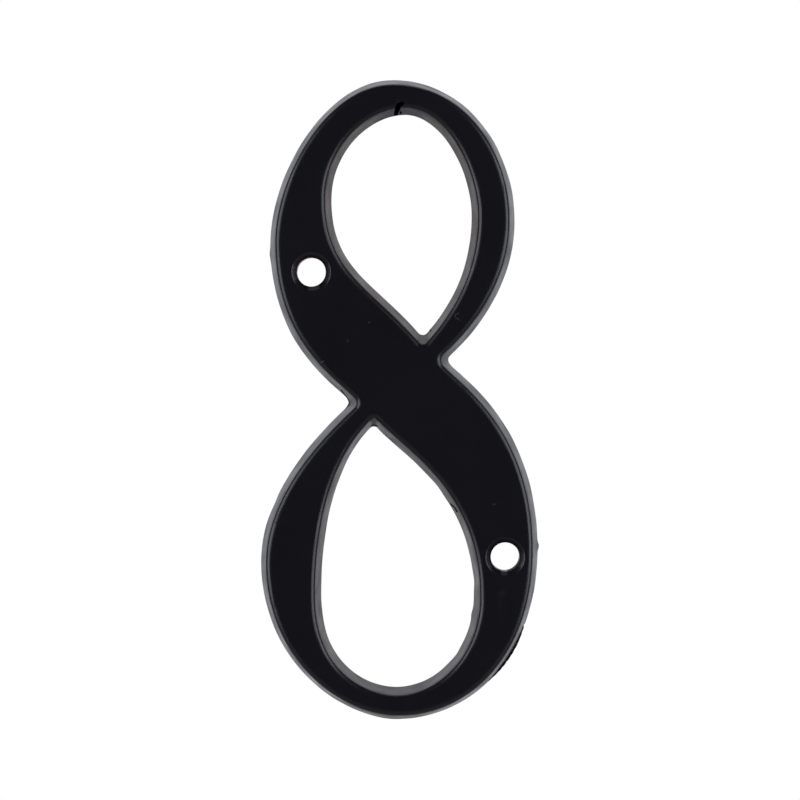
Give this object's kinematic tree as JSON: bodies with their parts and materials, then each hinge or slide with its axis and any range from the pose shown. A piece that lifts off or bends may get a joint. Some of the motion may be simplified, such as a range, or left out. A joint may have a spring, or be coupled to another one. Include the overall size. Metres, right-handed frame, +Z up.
{
  "type": "door number",
  "caption": "Cast door numeral eight with leaning side walls, rounded face edges, open counters and countersunk screw holes.",
  "frame": {"origin": "on the flat back face, at half the numeral's height", "axes": "+Z up the numeral as it is read, +X to the reader's right, -Y out of the face towards the reader, +Y into the door"},
  "size_m": [0.0442, 0.0045, 0.102],
  "materials": {
    "black_coat": "satin"
  },
  "bodies": {
    "root": {"numeral_eight": "black_coat"}
  },
  "joints": []
}
